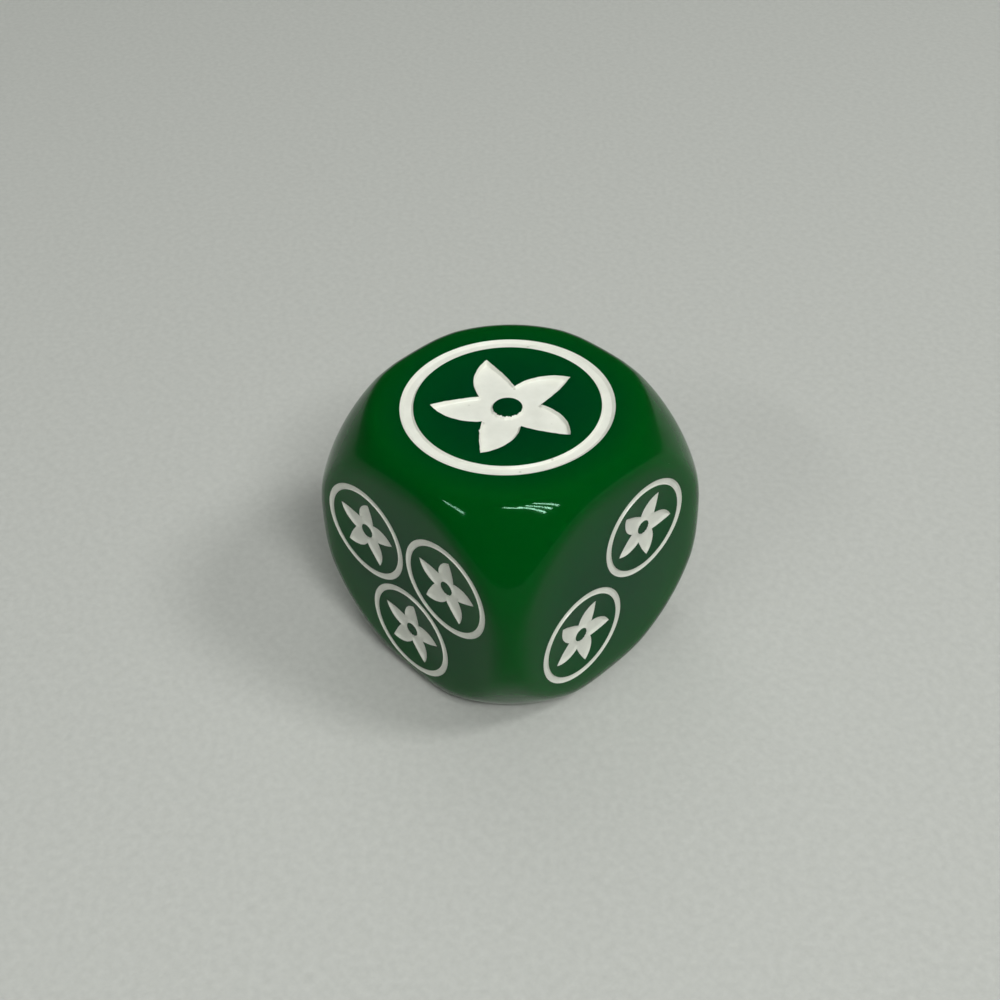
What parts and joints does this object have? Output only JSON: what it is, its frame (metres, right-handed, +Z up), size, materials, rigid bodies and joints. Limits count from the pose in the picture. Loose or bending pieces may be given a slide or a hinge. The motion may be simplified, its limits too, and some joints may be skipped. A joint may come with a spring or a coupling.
{
  "type": "casino die",
  "caption": "Large cube die with spherically rounded corners; each pip is an engraved ring around a pinwheel flower, lined with white enamel.",
  "frame": {"origin": "middle of the resting face, which is the six", "axes": "+Z up through the one, +X out of the two, -Y out of the three"},
  "size_m": [0.038, 0.038, 0.038],
  "materials": {
    "body_acrylic": "polished deep green cast acrylic",
    "ring_enamel": "off-white enamel, satin, lining the ring grooves",
    "flower_enamel": "off-white enamel, satin, lining the flower pockets"
  },
  "bodies": {
    "root": {"die_body": "body_acrylic", "ring_one": "ring_enamel", "flower_one": "flower_enamel", "ring_two_1": "ring_enamel", "flower_two_1": "flower_enamel", "ring_two_2": "ring_enamel", "flower_two_2": "flower_enamel", "ring_three_1": "ring_enamel", "flower_three_1": "flower_enamel", "ring_three_2": "ring_enamel", "flower_three_2": "flower_enamel", "ring_three_3": "ring_enamel", "flower_three_3": "flower_enamel", "ring_four_1": "ring_enamel", "flower_four_1": "flower_enamel", "ring_four_2": "ring_enamel", "flower_four_2": "flower_enamel", "ring_four_3": "ring_enamel", "flower_four_3": "flower_enamel", "ring_four_4": "ring_enamel", "flower_four_4": "flower_enamel", "ring_five_1": "ring_enamel", "flower_five_1": "flower_enamel", "ring_five_2": "ring_enamel", "flower_five_2": "flower_enamel", "ring_five_3": "ring_enamel", "flower_five_3": "flower_enamel", "ring_five_4": "ring_enamel", "flower_five_4": "flower_enamel", "ring_five_5": "ring_enamel", "flower_five_5": "flower_enamel", "ring_six_1": "ring_enamel", "flower_six_1": "flower_enamel", "ring_six_2": "ring_enamel", "flower_six_2": "flower_enamel", "ring_six_3": "ring_enamel", "flower_six_3": "flower_enamel", "ring_six_4": "ring_enamel", "flower_six_4": "flower_enamel", "ring_six_5": "ring_enamel", "flower_six_5": "flower_enamel", "ring_six_6": "ring_enamel", "flower_six_6": "flower_enamel"}
  },
  "joints": []
}
